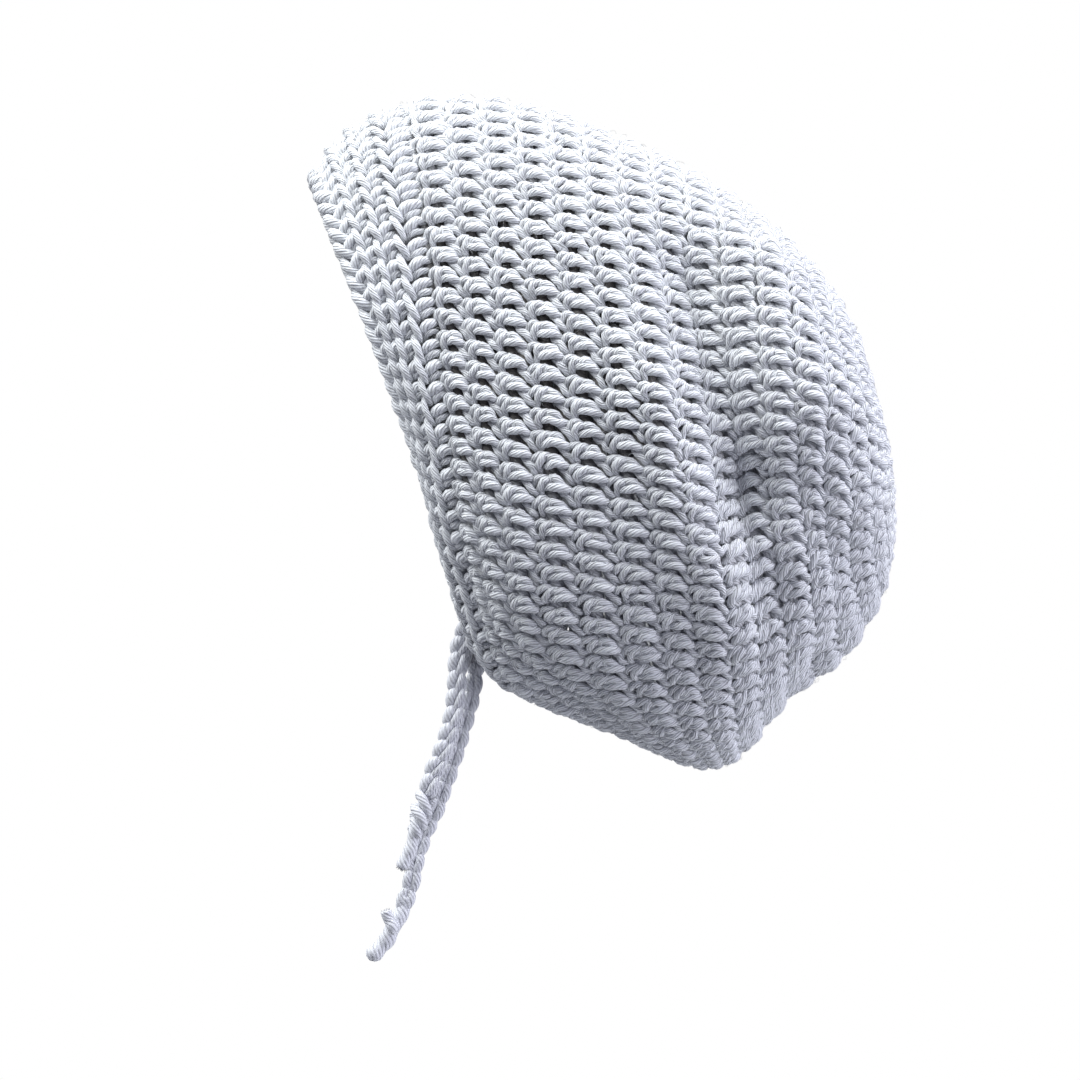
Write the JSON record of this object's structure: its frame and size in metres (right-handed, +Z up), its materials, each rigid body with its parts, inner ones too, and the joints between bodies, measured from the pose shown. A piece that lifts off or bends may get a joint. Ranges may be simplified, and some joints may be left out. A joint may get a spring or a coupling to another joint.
{
  "type": "slouching crocheted drawstring tam",
  "caption": "Deep slouching crocheted tam in plain white yarn, open from forehead to nape, with a closer rim band and hanging drawstring ends.",
  "frame": {"origin": "where the top of the head meets the inside of the crown", "axes": "+Z up as worn, the opening and the wearer's face towards -X, the bag hangs back along +X, the wearer's left is -Y"},
  "size_m": [0.3246, 0.2517, 0.4835],
  "materials": {
    "crown_yarn": "soft white acrylic yarn in open chunky crochet",
    "band_yarn": "soft white acrylic yarn in closer crochet",
    "cord_yarn": "soft white acrylic yarn in a crocheted chain"
  },
  "bodies": {
    "root": {"crown": "crown_yarn", "rim_band": "band_yarn", "drawstring_front": "cord_yarn", "drawstring_knot": "cord_yarn", "drawstring_tail": "cord_yarn", "drawstring_back": "cord_yarn", "drawstring_stub": "cord_yarn"}
  },
  "joints": []
}
